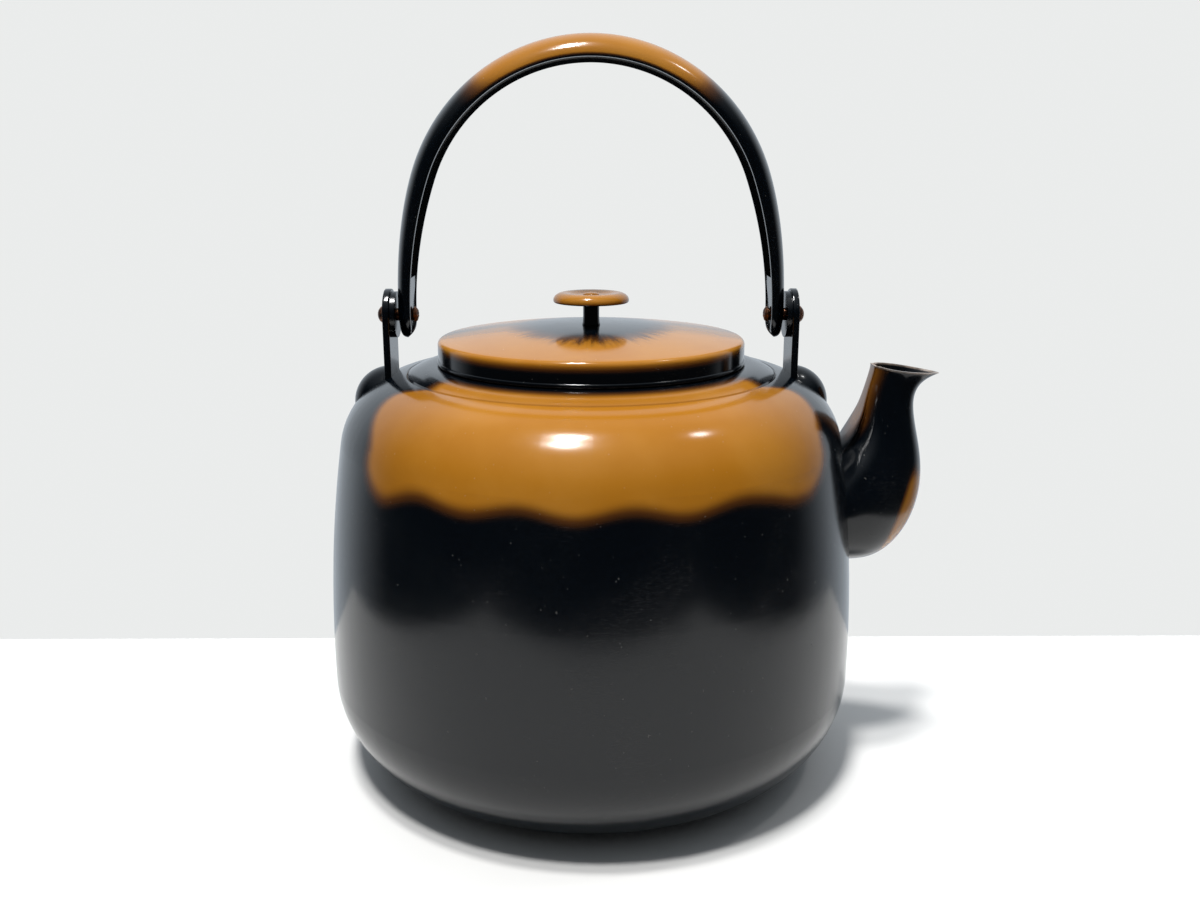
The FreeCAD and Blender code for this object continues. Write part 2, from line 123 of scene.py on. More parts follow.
DEEP_BLACK = (0.0009, 0.0022, 0.0040, 1)
BROWN = (0.10, 0.034, 0.006, 1)
AMBER = (0.47, 0.180, 0.012, 1)
PALE_AMBER = (0.53, 0.220, 0.024, 1)
DUST = (0.42, 0.40, 0.36, 1)
RIM_HIGHLIGHT_METAL = (0.34, 0.27, 0.22, 1)
DARK_TIN = (0.20, 0.13, 0.085, 1)
PALE_TIN = (0.42, 0.33, 0.26, 1)
CLOUD_SCALE = 38.0
RIPPLE_SCALE = 70.0
RIPPLE_STRENGTH = 0.06
RIPPLE_DEPTH = 0.0006
WIPING_SCALE = 260.0
WIPING_STRETCH = (1.0, 1.0, 14.0)
FINE_SCALE = 420.0
SPECK_SCALE = 1300.0
LACQUER_IOR = 1.46


def new_finish(name):
    """An empty finish: its material, its shader and the piece's own coordinates."""
    finish = bpy.data.materials.new(name)
    finish.use_nodes = True
    shader = finish.node_tree.nodes["Principled BSDF"]
    place = Tone(finish.node_tree).node("ShaderNodeTexCoord", out="Object")
    return finish, shader, place


def lacquer(name, amber_share=None, gloss=0.15, rim_highlight_share=None, middle=None):
    """Black gloss that turns amber where amber_share(x, y, z) says, through a brown edge.
    The film is cloudy and faintly rippled, with hairlines from wiping and a few specks of dust,
    and is painted lighter, as dull bare metal, where the rim highlight share says: a painted
    highlight on rims that catch the light. A hollow piece is left as dull tinned copper on the
    faces that look towards its middle, a height on the kettle's axis."""
    finish, shader, place = new_finish(name)
    links = finish.node_tree.links
    x, y, z = place.axes()
    cloud = place.noise(CLOUD_SCALE, 4.0)
    fine = place.noise(FINE_SCALE, 2.0)
    wiped = place.stretched(*WIPING_STRETCH).noise(WIPING_SCALE, 2.0, 0.4)
    hairline = 1 - abs(wiped - 0.5).eased(0.0, 0.012)
    speck = place.noise(SPECK_SCALE, 0.0).eased(0.84, 0.88)
    colour = DEEP_BLACK
    if amber_share is not None:
        share = amber_share(x, y, z)
        field = cloud.eased(0.30, 0.72).mixed(AMBER, PALE_AMBER)
        edge = share.eased(0.35, 1.0).mixed(BROWN, field)
        colour = share.eased(0.0, 0.5).mixed(DEEP_BLACK, edge)
    dust = speck * 0.15 + hairline * cloud.eased(0.45, 0.7) * 0.08
    colour = dust.mixed(colour, DUST)
    rough = gloss + 0.06 * cloud.eased(0.4, 0.8) + 0.10 * hairline * fine + 0.2 * speck
    if rim_highlight_share is not None:
        # Painted highlight: rims that catch the light are painted lighter and rougher, as bare
        # metal.
        rim_highlight = rim_highlight_share(x, y, z) * (0.5 + 0.5 * fine.eased(0.30, 0.62))
        colour = (rim_highlight * 0.85).mixed(colour, RIM_HIGHLIGHT_METAL)
        rough = rough + 0.22 * rim_highlight
    if middle is not None:
        facing = place.node("ShaderNodeTexCoord", out="Normal").axes()
        outwards = facing[0] * x + facing[1] * y + facing[2] * (z - middle)
        inside = 1 - outwards.eased(-0.002, 0.0)
        colour = inside.mixed(colour, cloud.eased(0.30, 0.70).mixed(DARK_TIN, PALE_TIN))
        rough = rough + inside * (0.22 + 0.15 * fine)
        links.new((inside * 0.85).socket, shader.inputs["Metallic"])
    links.new(colour.socket, shader.inputs["Base Color"])
    links.new(rough.socket, shader.inputs["Roughness"])
    ripple = place.noise(RIPPLE_SCALE, 1.0) * 0.8 + fine * 0.03 + speck * 0.1
    ripple = ripple.bump(RIPPLE_STRENGTH, RIPPLE_DEPTH)
    links.new(ripple.socket, shader.inputs["Normal"])
    shader.inputs["IOR"].default_value = LACQUER_IOR
    return finish


VESSEL_MIDDLE = 0.08
PANEL_MIDDLE = math.radians(2.5)
PANEL_HALF_ANGLE = math.radians(57.0)
PANEL_RADIUS = 0.074
PANEL_FOOT = 0.1072
PANEL_CORNER = 0.013
PANEL_BLUR = 0.0042
PANEL_FLARE = math.radians(8.0)
FLARE_HEIGHTS = (0.116, 0.130)
FLARE_RADII = (0.0575, 0.0690)
SCALLOP_PITCH = 0.031
SCALLOP_DEPTH = 0.0012
SCALLOP_PEAK = -0.020
SAG = 0.003
SAG_MIDDLE = 0.002
SAG_REACH = (0.048, 0.064)
SIDE_PAINTED_SHADE = 0.24
SIDE_PAINTED_SHADE_ANGLES = (0.30, 1.0)


def aside(x, y):
    """How far round the kettle a place is from the middle of the nearer amber field."""
    return abs(x.maths("ARCTAN2", x, abs(y)) - PANEL_MIDDLE)


def outside(x, y, radii):
    """0 within the first radius round the kettle's axis, 1 beyond the second."""
    return (x * x + y * y).eased(radii[0] ** 2, radii[1] ** 2)


def panel(x, y, z):
    """The amber field: a wide panel, wider still on the shoulder and darkened towards its sides as
    painted shade, with round corners and a scalloped foot that sags at both ends."""
    away = aside(x, y)
    flare = z.eased(*FLARE_HEIGHTS) * outside(x, y, FLARE_RADII) * PANEL_FLARE
    beyond = (away - PANEL_HALF_ANGLE - flare) * PANEL_RADIUS + PANEL_CORNER
    wave = x.maths("COSINE", (x - SCALLOP_PEAK) * (2 * math.pi / SCALLOP_PITCH))
    sag = abs(x - SAG_MIDDLE).eased(*SAG_REACH) * SAG
    under = PANEL_FOOT + PANEL_CORNER + wave * SCALLOP_DEPTH - sag - z
    corner = (beyond.above(0.0) ** 2 + under.above(0.0) ** 2) ** 0.5
    reach = corner + beyond.above(under).below(0.0) - PANEL_CORNER
    # Painted shade: the amber is dimmed towards the sides of the wall, where less light falls.
    side_shade = SIDE_PAINTED_SHADE * away.eased(*SIDE_PAINTED_SHADE_ANGLES)
    return (1 - reach.eased(-PANEL_BLUR, PANEL_BLUR)) * (1 - side_shade)


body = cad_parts["body"]
body.material_slots[0].material = lacquer("body_gloss", panel, middle=VESSEL_MIDDLE)


# Mouth ring: a low domed ring of the same sheet, soldered flush into the shoulder, with the
# upright neck that the lid drops over. It carries the amber of the two fields, dimmed all over as
# painted shade from the lid, and is black beside the lugs; round the neck it is black as painted
# shadow under the lid's skirt. It is tinned inside.
RING_LID_SHADOW = (0.0515, 0.0575)
RING_BLUR = 0.08
RING_LID_SHADE = 0.84


def ring_amber(x, y, z):
    across = 1 - aside(x, y).eased(PANEL_HALF_ANGLE - RING_BLUR, PANEL_HALF_ANGLE + RING_BLUR)
    # Painted shade: the amber share is dimmed all over and falls to black near the neck, standing
    # for the lid's shadow.
    return RING_LID_SHADE * across * outside(x, y, RING_LID_SHADOW)


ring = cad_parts["mouth_ring"]
ring.material_slots[0].material = lacquer("ring_gloss", ring_amber, middle=VESSEL_MIDDLE)


# Spout: a swan-necked shell of sheet copper, seamed and soldered to the wall, black with a
# smoked amber patch on its belly and an amber streak up its throat. Its lip is painted lighter,
# as bare metal: a painted highlight where the rim catches the light.
BELLY_LINE = (0.0992, 0.079, 0.34)
BELLY_BLUR = (-0.0014, 0.0018)
BELLY_FOOT = (0.064, 0.075)
BELLY_TOP = (0.095, 0.104)
BELLY_STRENGTH = 0.72
THROAT_LINE = (0.0886, 0.1156, 0.264)
THROAT_DEPTH = (0.0020, 0.0065)
THROAT_WIDTH = (0.0025, 0.0085)
THROAT_FOOT = (0.106, 0.116)
THROAT_STRENGTH = 0.55
LIP_LINE = (0.1338, 0.0934, -0.1236)
LIP_HIGHLIGHT = (-0.0007, -0.0002)


def past(first, second, line):
    """How far the first measure is past a leaning line: a place in both measures, and a lean."""
    return first - line[0] - (second - line[1]) * line[2]


def spout_amber(x, y, z):
    belly = past(x, z, BELLY_LINE).eased(*BELLY_BLUR)
    belly = belly * z.eased(*BELLY_FOOT) * (1 - z.eased(*BELLY_TOP))
    throat = (1 - abs(y).eased(*THROAT_WIDTH)) * z.eased(*THROAT_FOOT)
    throat = throat * (1 - past(x, z, THROAT_LINE).eased(*THROAT_DEPTH))
    return belly * BELLY_STRENGTH + throat * THROAT_STRENGTH


def spout_lip_highlight(x, y, z):
    # Painted highlight: the top of the lip is painted lighter, as bare metal, where it catches the
    # light.
    return past(z, x, LIP_LINE).eased(*LIP_HIGHLIGHT)


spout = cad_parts["spout"]
spout.material_slots[0].material = lacquer("spout_gloss", spout_amber, rim_highlight_share=spout_lip_highlight)


# Lid: a low-domed cap of sheet copper with a short black skirt and a small bead round its foot.
# Its top is amber, wiped in strokes to black towards the knob. The bead is painted lighter, as
# bare metal: a painted highlight where its edge catches the light.
LID_RADIUS = 0.0503
LID_FOOT = 0.13546
LID_RIM = 0.14296
LID_CROWN = 0.0042
LID_WALL = 0.0009
LID_EDGE_BEND = 0.0016
LID_BEAD = (0.0004, 0.0012)
LID_MIDDLE = 0.12
LID_GLOSS = 0.13
LID_DARK = (0.0290, 0.0390)
LID_DARK_MIDDLE = 0.0045
LID_WIPING = (0.50, 1.12)
LID_STROKES = (9.0, 1.5)
LID_STROKE_DEPTH = 0.40
LID_FADE = (LID_RIM - 0.0040, LID_RIM - 0.0002)
BEAD_HIGHLIGHT = (LID_FOOT, LID_FOOT + 0.0004)
BEAD_HIGHLIGHT_STRENGTH = 0.7
TENON_RADIUS = 0.00185
DOUBLES = 1e-6
LID_TOP = LID_RIM + LID_CROWN
crown_bend = (LID_RADIUS ** 2 + LID_CROWN ** 2) / (2 * LID_CROWN)
crown_middle = LID_TOP - crown_bend
edge_angle = math.asin((LID_RADIUS - LID_EDGE_BEND) / (crown_bend - LID_EDGE_BEND))
edge_middle = (LID_RADIUS - LID_EDGE_BEND,
               crown_middle + (crown_bend - LID_EDGE_BEND) * math.cos(edge_angle))


def placed():
    """The piece just added, with its place, turn and size put into its mesh, in edit mode."""
    bpy.ops.object.transform_apply(location=True, rotation=True, scale=True)
    bpy.ops.object.mode_set(mode="EDIT")
    return bpy.context.object


def added(primitive, **shape):
    """A primitive at its size and place, alone and in edit mode."""
    bpy.ops.object.select_all(action="DESELECT")
    primitive(**shape)
    return placed()


def closed_up(piece):
    """Merge doubles, turn all faces outwards and leave edit mode."""
    bpy.ops.mesh.select_all(action="SELECT")
    bpy.ops.mesh.remove_doubles(threshold=DOUBLES)
    bpy.ops.mesh.normals_make_consistent(inside=False)
    bpy.ops.object.mode_set(mode="OBJECT")
    return piece


def turned(rings, sides=128):
    """A piece turned round the kettle's axis: a ring drawn out through (radius, height) pairs."""
    radius, height = rings[0]
    piece = added(bpy.ops.mesh.primitive_circle_add, vertices=sides, radius=radius,
                  location=(0.0, 0.0, height))
    bpy.ops.mesh.select_all(action="SELECT")
    for next_radius, next_height in rings[1:]:
        share = next_radius / radius
        rise = (0.0, 0.0, next_height - height)
        bpy.ops.mesh.extrude_edges_move(TRANSFORM_OT_translate={"value": rise})
        bpy.ops.transform.resize(value=(share, share, 1.0), center_override=(0.0, 0.0, next_height))
        radius, height = next_radius, next_height
    return closed_up(piece)


def arc(middle, reach, start, end, steps):
    """Points of a round or oval arc, from one angle to another."""
    turns = [start + (end - start) * step / steps for step in range(steps + 1)]
    return [(middle[0] + reach[0] * math.cos(turn), middle[1] + reach[1] * math.sin(turn))
            for turn in turns]


def taken(piece):
    """Select one piece alone and make it the active one."""
    bpy.ops.object.select_all(action="DESELECT")
    piece.select_set(True)
    bpy.context.view_layer.objects.active = piece


def applied(piece, kind, **settings):
    """A modifier put on a piece, set and applied."""
    bpy.context.view_layer.objects.active = piece
    change = piece.modifiers.new("change", kind)
    for name, value in settings.items():
        setattr(change, name, value)
    bpy.ops.object.modifier_apply(modifier="change")


def dressed(piece, name, finish, part, node, angle=40.0):
    """Name and finish a piece, and put it in a CAD node's place on a body."""
    piece.name = name
    piece.data.materials.clear()
    piece.data.materials.append(finish)
    taken(piece)
    bpy.ops.object.shade_smooth_by_angle(angle=math.radians(angle))
    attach(piece, part)
    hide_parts(node)


def crown(wall):
    """The lid's profile from its middle over the rounded edge, a wall's depth below its top."""
    bend, edge = crown_bend - wall, LID_EDGE_BEND - wall
    start = math.pi / 2 - math.asin(TENON_RADIUS / bend)
    end = math.pi / 2 - edge_angle
    return (arc((0.0, crown_middle), (bend, bend), start, end, 24) +
            arc(edge_middle, (edge, edge), end, 0.0, 8)[1:])


def lid_amber(x, y, z):
    across = x / LID_DARK[0]
    along = (y - LID_DARK_MIDDLE) / LID_DARK[1]
    reach = (across * across + along * along) ** 0.5
    angle = x.maths("ARCTAN2", x, y)
    spokes = x.node("ShaderNodeCombineXYZ", {}, {0: angle * LID_STROKES[0],
                                                 1: reach * LID_STROKES[1]})
    strokes = (spokes.noise(2.0, 3.0) - 0.5) * LID_STROKE_DEPTH
    return (reach + strokes).eased(*LID_WIPING) * z.eased(*LID_FADE)


def lid_bead_highlight(x, y, z):
    # Painted highlight: the bead at the skirt's foot is painted lighter, as bare metal, where it
    # catches the light.
    return (1 - z.eased(*BEAD_HIGHLIGHT)) * BEAD_HIGHLIGHT_STRENGTH


bead = arc((LID_RADIUS, LID_FOOT + LID_BEAD[1] / 2), (LID_BEAD[0], LID_BEAD[1] / 2),
           math.pi / 2, -math.pi / 2, 8)
outer, inner = crown(0.0), crown(LID_WALL)
lid = turned(outer + bead + [(LID_RADIUS - LID_WALL, LID_FOOT)] + inner[::-1] + outer[:1])
lid_gloss = lacquer("lid_gloss", lid_amber, LID_GLOSS, lid_bead_highlight, LID_MIDDLE)
dressed(lid, "lid_domed", lid_gloss, "lid", "lid")


# Knob: a thick cap with a full round brim and a small dish, on a turned post that is hammered
# over in the dish and over a copper washer below the lid. The cap is amber, the post black.
CAP_FOOT = 0.15456
CAP_TOP = CAP_FOOT + 0.0032
CAP_BRIM = 0.0124
CAP_WIDEST = 0.0008
CAP_UNDER_BEND = 0.0006
CAP_CREST = 0.0090
CAP_FADE = (CAP_FOOT - 0.0002, CAP_FOOT + 0.0008)
DISH_DEPTH = 0.0008
DISH_FLOOR_RADIUS = 0.0040
DISH_STEPS = 6
POST_RADIUS = 0.00265
COLLAR = ((0.0030, 0.0), (0.0028, 0.0008), (POST_RADIUS, 0.0030))
TENON_PLAY = 0.00005
HAMMERED = (0.0027, 0.0009)
HAMMERED_TURNS = (0.0, 0.3, 0.6, 0.9, 1.2, 1.45)
WASHER = (0.0050, 0.0008)
FILED_EDGE = 0.00015


def softened(piece, width, segments=2, angle=60.0):
    """Round off the edges of a piece that are sharper than an angle."""
    applied(piece, "BEVEL", width=width, segments=segments, limit_method="ANGLE",
            angle_limit=math.radians(angle))


def rims():
    """Select the open rims of the piece in edit mode."""
    bpy.ops.mesh.select_all(action="DESELECT")
    bpy.ops.mesh.select_mode(type="EDGE")
    bpy.ops.mesh.select_non_manifold(extend=False)


def knob_amber(x, y, z):
    return z.eased(*CAP_FADE)


under = arc((CAP_BRIM - CAP_UNDER_BEND, CAP_FOOT + CAP_UNDER_BEND),
            (CAP_UNDER_BEND, CAP_UNDER_BEND), -math.pi / 2, -math.pi / 10, 4)
brim = arc((CAP_CREST, CAP_FOOT + CAP_WIDEST),
           (CAP_BRIM - CAP_CREST, CAP_TOP - CAP_FOOT - CAP_WIDEST), 0.0, math.pi / 2, 10)
dish_floor = CAP_TOP - DISH_DEPTH
dish = [(CAP_CREST - (CAP_CREST - DISH_FLOOR_RADIUS) * step / DISH_STEPS,
         CAP_TOP - DISH_DEPTH * (1 - math.cos(math.pi * step / DISH_STEPS)) / 2)
        for step in range(1, DISH_STEPS + 1)]
knob_gloss = lacquer("knob_gloss", knob_amber)
cap = turned([(TENON_RADIUS, CAP_FOOT)] + under + brim + dish +
             [(TENON_RADIUS, dish_floor), (TENON_RADIUS, CAP_FOOT)], 96)
dressed(cap, "knob_brim", knob_gloss, "lid", "knob_cap")

washer_top = crown_middle + math.sqrt((crown_bend - LID_WALL) ** 2 - WASHER[0] ** 2)
washer_foot = washer_top - WASHER[1]
tenon = TENON_RADIUS - TENON_PLAY
domed = [(HAMMERED[0] * math.cos(turn), HAMMERED[1] * math.sin(turn)) for turn in HAMMERED_TURNS]
post = turned([(radius, washer_foot - height) for radius, height in domed[::-1]] +
              [(tenon, washer_foot), (tenon, LID_TOP)] +
              [(radius, LID_TOP + height) for radius, height in COLLAR] +
              [(POST_RADIUS, CAP_FOOT), (tenon, CAP_FOOT), (tenon, dish_floor)] +
              [(radius, dish_floor + height) for radius, height in domed], 64)
softened(post, FILED_EDGE)
bpy.ops.object.mode_set(mode="EDIT")
rims()
bpy.ops.mesh.fill_holes(sides=0)
closed_up(post)
dressed(post, "knob_stem", knob_gloss, "lid", "knob_post")

BROWN_COPPER = (0.055, 0.026, 0.015, 1)
BRIGHT_COPPER = (0.30, 0.125, 0.062, 1)
RUBBING_SCALE = 700.0
DENT_SCALE = 1500.0


def bare_copper(name):
    """Hammered copper gone brown, bright again where it has been rubbed."""
    finish, shader, place = new_finish(name)
    links = finish.node_tree.links
    cloud = place.noise(RUBBING_SCALE, 4.0, 0.6)
    colour = cloud.eased(0.35, 0.70).mixed(BROWN_COPPER, BRIGHT_COPPER)
    links.new(colour.socket, shader.inputs["Base Color"])
    links.new((0.30 + 0.25 * cloud).socket, shader.inputs["Roughness"])
    dents = place.noise(DENT_SCALE, 1.0).bump(0.4, 0.0002)
    links.new(dents.socket, shader.inputs["Normal"])
    shader.inputs["Metallic"].default_value = 0.85
    return finish


copper = bare_copper("rubbed_copper")
burr = turned([(TENON_RADIUS, washer_foot), (WASHER[0], washer_foot), (WASHER[0], washer_top),
               (TENON_RADIUS, washer_top), (TENON_RADIUS, washer_foot)], 48)
softened(burr, FILED_EDGE)
dressed(burr, "knob_washer", copper, "lid", "knob_burr")


# Lugs: straps with round heads on domed leaf feet, filed soft, riveted to the shoulder from
# inside and blackened with the body. The rivets are dressed flush outside before the lacquer.
PIVOT_HEIGHT = 0.1506
LUG_INNER = 0.06505
LUG_OUTER = 0.06725
LUG_HALF_WIDTH = 0.0084
STRAP_FOOT = 0.1214
FOOT_MIDDLE = (0.06675, 0.0, 0.12163)
FOOT_REACH = 0.0120
FOOT_NARROWING = 0.866
FORGING_GRAIN = 0.0003
SHOULDER_MIDDLE = (0.057772, 0.1073)
SHOULDER_BEND = 0.025
SHOULDER_PLAY = 0.00005
SHOULDER_FOOT = 0.105
SHOULDER_RADII = (0.020, 0.080)
SHOULDER_TURNS = (math.radians(4.0), math.radians(85.6))
SLIVER = 5e-6
HAIR = 1e-5


def pick(piece, chosen):
    """Select the points of a piece in edit mode that chosen(place) is true of."""
    mesh = bmesh.from_edit_mesh(piece.data)
    bpy.ops.mesh.select_mode(type="VERT")
    for point in mesh.verts:
        point.select_set(chosen(point.co))
    mesh.select_flush(True)
    mesh.select_flush(False)
    bmesh.update_edit_mesh(piece.data)


def joined(pieces):
    taken(pieces[0])
    for piece in pieces:
        piece.select_set(True)
    bpy.ops.object.join()
    return pieces[0]


def cut_away(piece, tool):
    """Take one piece out of another, clear slivers off the cut and throw the tool away."""
    applied(piece, "BOOLEAN", operation="DIFFERENCE", solver="EXACT", object=tool)
    bpy.data.objects.remove(tool)
    bpy.ops.object.mode_set(mode="EDIT")
    bpy.ops.mesh.select_all(action="SELECT")
    bpy.ops.mesh.dissolve_degenerate(threshold=SLIVER)
    closed_up(piece)


def other_side(piece):
    """A copy on the side away from the spout, with its own mesh."""
    taken(piece)
    bpy.ops.object.duplicate()
    copy = bpy.context.object
    copy.scale = (-1.0, 1.0, 1.0)
    placed()
    return closed_up(copy)


strap = added(bpy.ops.mesh.primitive_cylinder_add, vertices=64, radius=LUG_HALF_WIDTH,
              depth=LUG_OUTER - LUG_INNER, rotation=(0.0, math.pi / 2, 0.0),
              location=((LUG_INNER + LUG_OUTER) / 2, 0.0, PIVOT_HEIGHT))
pick(strap, lambda place: place.z < PIVOT_HEIGHT - HAIR)
bpy.ops.transform.resize(value=(1.0, 1.0, 0.0), center_override=(LUG_INNER, 0.0, STRAP_FOOT))
closed_up(strap)
foot = added(bpy.ops.mesh.primitive_uv_sphere_add, segments=64, ring_count=32, radius=FOOT_REACH,
             location=FOOT_MIDDLE, scale=(1.0, FOOT_NARROWING, 1.0))
bpy.ops.mesh.select_all(action="SELECT")
bpy.ops.mesh.bisect(plane_co=(LUG_INNER, 0.0, 0.0), plane_no=(1.0, 0.0, 0.0), use_fill=True,
                    clear_inner=True)
closed_up(foot)
lug_right = joined([strap, foot])
applied(lug_right, "REMESH", mode="VOXEL", voxel_size=FORGING_GRAIN)
applied(lug_right, "SMOOTH", factor=0.5, iterations=4)
bend = SHOULDER_BEND - SHOULDER_PLAY
shoulder = turned([(radius, SHOULDER_FOOT) for radius in SHOULDER_RADII] +
                  arc(SHOULDER_MIDDLE, (bend, bend), *SHOULDER_TURNS, 24) +
                  [(SHOULDER_RADII[0], SHOULDER_MIDDLE[1] + bend),
                   (SHOULDER_RADII[0], SHOULDER_FOOT)], 256)
cut_away(lug_right, shoulder)
lug_gloss = lacquer("lug_gloss")
lug_left = other_side(lug_right)
for piece, side in ((lug_right, "right"), (lug_left, "left")):
    dressed(piece, "lug_forged_" + side, lug_gloss, "kettle", "lug_" + side, 50.0)


# Lug rivets: two copper rivets through each foot. Only their low round heads show, inside the
# body under the shoulder.
BODY_WALL = 0.0010
RIVET_HEAD = (0.0028, 0.0010)
RIVET_ROUND = 0.0004
RIVET_BITE = 0.0001
RIVET_TURN = math.radians(58.0)
RIVET_SPREAD = math.radians(2.93)

seat = SHOULDER_BEND - BODY_WALL - RIVET_HEAD[1] / 2 + RIVET_BITE
seat_x = SHOULDER_MIDDLE[0] + seat * math.cos(RIVET_TURN)
seat_z = SHOULDER_MIDDLE[1] + seat * math.sin(RIVET_TURN)
heads = []
for spread in (-RIVET_SPREAD, RIVET_SPREAD):
    head = added(bpy.ops.mesh.primitive_cylinder_add, vertices=32, radius=RIVET_HEAD[0],
                 depth=RIVET_HEAD[1], rotation=(0.0, math.pi / 2 - RIVET_TURN, 0.0),
                 location=(seat_x, 0.0, seat_z))
    bpy.ops.mesh.select_all(action="SELECT")
    bpy.ops.transform.rotate(value=-spread, orient_axis="Z", center_override=(0.0, 0.0, 0.0))
    closed_up(head)
    softened(head, RIVET_ROUND, 3, 50.0)
    heads.append(head)
rivets_right = joined(heads)
rivets_left = other_side(rivets_right)
for piece, side in ((rivets_right, "right"), (rivets_left, "left")):
    dressed(piece, "foot_rivets_" + side, copper, "kettle", "lug_rivets_" + side)


# Washers: thin turned discs on the pivots that keep the bail ends off the lugs, blackened with
# the rest but a little duller.
washer_gloss = lacquer("washer_gloss", gloss=0.2)
for name in ("spacer_washer_right", "spacer_washer_left"):
    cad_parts[name].material_slots[0].material = washer_gloss


# Bail: a channel of bent sheet with rolled lips, open on its inner side and closed by solid
# forged ends that turn on the pivots. It is black, with amber sprayed over the crown of its grip.
HALF_SPAN = 0.0583
CROWN_BEND = 0.0540
CROWN_HEIGHT = 0.1762
DEPTHS = (0.0048, 0.0014, 0.0015)
HALF_WIDTHS = (0.0075, 0.0025, 0.0020)
SHEET = 0.0012
LIP_ROUND = 0.0004
STATIONS = 56
END_LENGTH = 0.013
END_STATIONS = 4
END_TUCK = 0.0019
PLUG_FIT = (0.86, 0.90, 0.94)
PLUG_MIDDLE = HALF_SPAN + 0.0020
PIVOT_BORE = 0.00206
DRILL_RUN = 0.015
GRIP_FADE = (0.2130, 0.2280)
GRIP_SKIN = (0.90, 0.95)
GRIP_LIPS = (0.0002, 0.0016)
climb = CROWN_HEIGHT - PIVOT_HEIGHT
leg_bend = (HALF_SPAN ** 2 + climb ** 2 - CROWN_BEND ** 2) / (2 * (HALF_SPAN - CROWN_BEND))
leg_angle = math.atan2(climb, leg_bend - HALF_SPAN)
leg_length = leg_bend * leg_angle
half_length = leg_length + CROWN_BEND * (math.pi / 2 - leg_angle)


def eased(share):
    share = min(max(share, 0.0), 1.0)
    return share * share * (3 - 2 * share)


def bail_section(along):
    """Inner point, angle of the outward normal, depth and half width of the bail at a distance
    along it from the right pivot, up to the middle of the grip. Both sizes are those at the end,
    with what is gained up the leg and what is gained towards the grip."""
    if along <= leg_length:
        angle = along / leg_bend
        place = (HALF_SPAN - leg_bend + leg_bend * math.cos(angle),
                 PIVOT_HEIGHT + leg_bend * math.sin(angle))
    else:
        angle = leg_angle + (along - leg_length) / CROWN_BEND
        place = (CROWN_BEND * math.cos(angle), CROWN_HEIGHT + CROWN_BEND * math.sin(angle))
    leg = eased(along / leg_length)
    grip = eased((along - leg_length / 2) / (half_length - leg_length / 2))
    depth, half_width = (size[0] + size[1] * leg + size[2] * grip
                         for size in (DEPTHS, HALF_WIDTHS))
    return place, angle, depth, half_width


def drawn_along(length, stations):
    """Extrude the selected section from station to station along the bail."""
    distances = [length * step / stations for step in range(stations + 1)]
    for last, distance in zip(distances, distances[1:]):
        old_place, old_angle, old_depth, old_width = bail_section(last)
        place, angle, depth, width = bail_section(distance)
        centre = (place[0], 0.0, place[1])
        move = (place[0] - old_place[0], 0.0, place[1] - old_place[1])
        growth = (depth / old_depth, width / old_width, 1.0)
        bpy.ops.mesh.extrude_edges_move(TRANSFORM_OT_translate={"value": move})
        bpy.ops.transform.rotate(value=-old_angle, orient_axis="Y", center_override=centre)
        bpy.ops.transform.resize(value=growth, center_override=centre)
        bpy.ops.transform.rotate(value=angle, orient_axis="Y", center_override=centre)


def end_cup():
    """The round lower end of the bail at the right pivot: a quarter of an egg, open inwards and
    up, tucked in at its tip, with its upper rim selected."""
    depth, drop = DEPTHS[0], HALF_WIDTHS[0]
    cup = added(bpy.ops.mesh.primitive_uv_sphere_add, segments=64, ring_count=32, radius=1.0,
                scale=(depth, drop, drop), location=(HALF_SPAN, 0.0, PIVOT_HEIGHT))
    pick(cup, lambda place: place.z > PIVOT_HEIGHT + HAIR or place.x < HALF_SPAN - HAIR)
    bpy.ops.mesh.delete(type="VERT")
    pick(cup, lambda place: place.z < PIVOT_HEIGHT - drop + HAIR)
    bpy.ops.transform.translate(value=(END_TUCK, 0.0, 0.0), use_proportional_edit=True,
                                proportional_edit_falloff="SMOOTH", proportional_size=drop - HAIR)
    pick(cup, lambda place: place.z > PIVOT_HEIGHT - HAIR)
    return cup


def drilled(piece):
    """Bore the pivots' holes straight across a piece."""
    drill = added(bpy.ops.mesh.primitive_cylinder_add, vertices=48, radius=PIVOT_BORE,
                  depth=2 * (HALF_SPAN + DRILL_RUN), rotation=(0.0, math.pi / 2, 0.0),
                  location=(0.0, 0.0, PIVOT_HEIGHT))
    cut_away(piece, closed_up(drill))


channel = end_cup()
drawn_along(half_length, STATIONS)
closed_up(channel)
applied(channel, "MIRROR", use_mirror_merge=True, merge_threshold=0.00001)
bpy.ops.object.mode_set(mode="EDIT")
closed_up(channel)
crest = max(channel.data.polygons, key=lambda face: face.center.z)
if crest.normal.z < 0:
    bpy.ops.object.mode_set(mode="EDIT")
    bpy.ops.mesh.select_all(action="SELECT")
    bpy.ops.mesh.flip_normals()
    bpy.ops.object.mode_set(mode="OBJECT")
applied(channel, "SOLIDIFY", thickness=SHEET, offset=-1.0, use_even_offset=True)
softened(channel, LIP_ROUND, 3, 50.0)
drilled(channel)

plug_right = end_cup()
drawn_along(END_LENGTH, END_STATIONS)
bpy.ops.mesh.edge_face_add()
rims()
bpy.ops.mesh.edge_face_add()
bpy.ops.mesh.select_all(action="SELECT")
bpy.ops.transform.resize(value=PLUG_FIT, center_override=(PLUG_MIDDLE, 0.0, PIVOT_HEIGHT))
closed_up(plug_right)
drilled(plug_right)
bail = joined([channel, plug_right, other_side(plug_right)])


